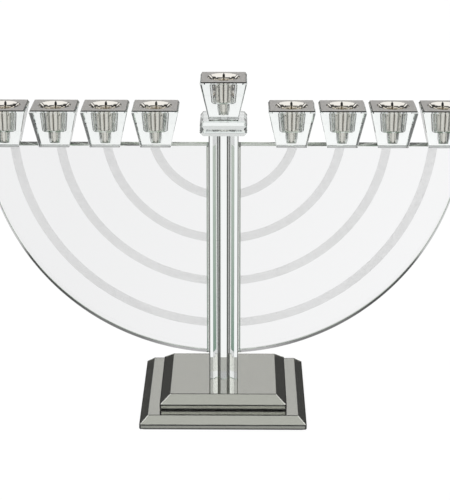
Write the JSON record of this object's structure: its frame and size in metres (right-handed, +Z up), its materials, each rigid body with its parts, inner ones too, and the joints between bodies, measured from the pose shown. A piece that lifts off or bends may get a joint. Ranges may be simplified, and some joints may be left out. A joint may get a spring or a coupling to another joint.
{
  "type": "menorah",
  "caption": "Clear crystal menorah on a two-tier mirror base, with a fluted pillar, two half-disc glass panels and square cups with lift-out metal candle inserts.",
  "frame": {"origin": "middle of the base's underside, on the table", "axes": "+Z up, +X along the row of cups, -Y towards the front"},
  "size_m": [0.3592, 0.125, 0.2551],
  "materials": {
    "crystal": "polished clear crystal",
    "float_glass": "polished float glass with a green edge, arcs sandblasted on the back face",
    "mirror_glass": "silvered on the underside, polished bevels",
    "backing_film": "matte protective paint and film",
    "rubber": "matte non-slip sheet",
    "insert_metal": "satin top plate, bright fluted bowl"
  },
  "bodies": {
    "lamp_stand": {"base_pad": "rubber", "lower_mirror_backing": "backing_film", "lower_base_plate": "mirror_glass", "upper_mirror_backing": "backing_film", "upper_base_plate": "mirror_glass", "pillar": "crystal", "collar": "crystal", "left_panel": "float_glass", "right_panel": "float_glass", "shamash_cup": "crystal", "left_1_cup": "crystal", "left_2_cup": "crystal", "left_3_cup": "crystal", "left_4_cup": "crystal", "right_1_cup": "crystal", "right_2_cup": "crystal", "right_3_cup": "crystal", "right_4_cup": "crystal"},
    "shamash_insert_body": {"shamash_insert": "insert_metal"},
    "left_1_insert_body": {"left_1_insert": "insert_metal"},
    "left_2_insert_body": {"left_2_insert": "insert_metal"},
    "left_3_insert_body": {"left_3_insert": "insert_metal"},
    "left_4_insert_body": {"left_4_insert": "insert_metal"},
    "right_1_insert_body": {"right_1_insert": "insert_metal"},
    "right_2_insert_body": {"right_2_insert": "insert_metal"},
    "right_3_insert_body": {"right_3_insert": "insert_metal"},
    "right_4_insert_body": {"right_4_insert": "insert_metal"}
  },
  "joints": [
    {"name": "shamash_insert_lift", "type": "slide", "parent": "lamp_stand", "child": "shamash_insert_body", "axis": [0, 0, 1], "range_m": [0, 0.03]},
    {"name": "left_1_insert_lift", "type": "slide", "parent": "lamp_stand", "child": "left_1_insert_body", "axis": [0, 0, 1], "range_m": [0, 0.03]},
    {"name": "left_2_insert_lift", "type": "slide", "parent": "lamp_stand", "child": "left_2_insert_body", "axis": [0, 0, 1], "range_m": [0, 0.03]},
    {"name": "left_3_insert_lift", "type": "slide", "parent": "lamp_stand", "child": "left_3_insert_body", "axis": [0, 0, 1], "range_m": [0, 0.03]},
    {"name": "left_4_insert_lift", "type": "slide", "parent": "lamp_stand", "child": "left_4_insert_body", "axis": [0, 0, 1], "range_m": [0, 0.03]},
    {"name": "right_1_insert_lift", "type": "slide", "parent": "lamp_stand", "child": "right_1_insert_body", "axis": [0, 0, 1], "range_m": [0, 0.03]},
    {"name": "right_2_insert_lift", "type": "slide", "parent": "lamp_stand", "child": "right_2_insert_body", "axis": [0, 0, 1], "range_m": [0, 0.03]},
    {"name": "right_3_insert_lift", "type": "slide", "parent": "lamp_stand", "child": "right_3_insert_body", "axis": [0, 0, 1], "range_m": [0, 0.03]},
    {"name": "right_4_insert_lift", "type": "slide", "parent": "lamp_stand", "child": "right_4_insert_body", "axis": [0, 0, 1], "range_m": [0, 0.03]}
  ]
}
